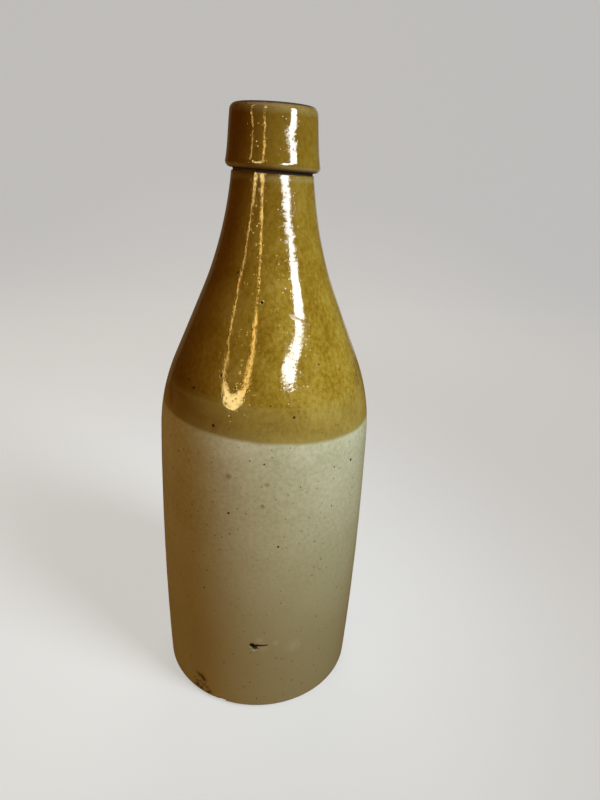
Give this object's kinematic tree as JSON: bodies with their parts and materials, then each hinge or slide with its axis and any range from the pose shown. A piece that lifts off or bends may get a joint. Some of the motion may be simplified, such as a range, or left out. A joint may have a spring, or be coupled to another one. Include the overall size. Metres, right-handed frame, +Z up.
{
  "type": "stoneware ginger beer bottle",
  "caption": "Glazed stoneware bottle with a barrelled body, long sloping shoulder and collared neck, open at the mouth, for holding drink under a cork.",
  "frame": {"origin": "middle of the foot's flat face, on the axis of the body", "axes": "+Z up the axis to the mouth, -Y towards the front, +X to the right"},
  "size_m": [0.0764, 0.0764, 0.209],
  "materials": {
    "glazed_stoneware": "clear glaze over pale stoneware on the body, with the neck and shoulder dipped in a glossy ochre-brown glaze"
  },
  "bodies": {
    "root": {"bottle": "glazed_stoneware"}
  },
  "joints": []
}
